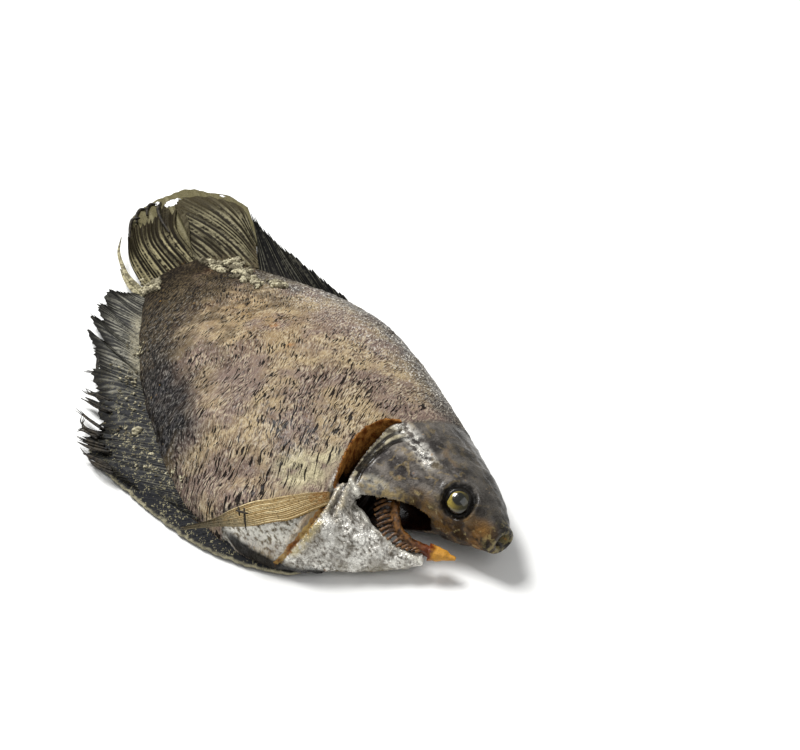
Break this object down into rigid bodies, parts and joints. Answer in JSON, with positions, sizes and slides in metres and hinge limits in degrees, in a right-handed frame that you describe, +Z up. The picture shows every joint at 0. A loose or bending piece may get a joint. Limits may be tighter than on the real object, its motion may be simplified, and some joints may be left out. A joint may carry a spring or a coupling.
{
  "type": "dried snakeskin gourami",
  "caption": "Whole dried gourami lying on its side: flat oval body, ragged dried fins, sunken eye, lifted gill cover and a gap at the throat that shows the gill arch.",
  "frame": {"origin": "middle of the fish's outline, on the surface that it lies on", "axes": "+X along the fish towards the snout, +Y towards its back, +Z up out of its right side"},
  "size_m": [0.1958, 0.0956, 0.0241],
  "materials": {
    "dried_skin": "dry mottled fish skin, tan to brown-black, with a dull sheen",
    "dried_eye": "sunken glossy eye",
    "dried_gill": "dried orange-brown gill tissue and bone"
  },
  "bodies": {
    "root": {"gourami_body": "dried_skin", "eye_right": "dried_eye", "eye_left": "dried_eye", "gill_arch": "dried_gill"}
  },
  "joints": []
}
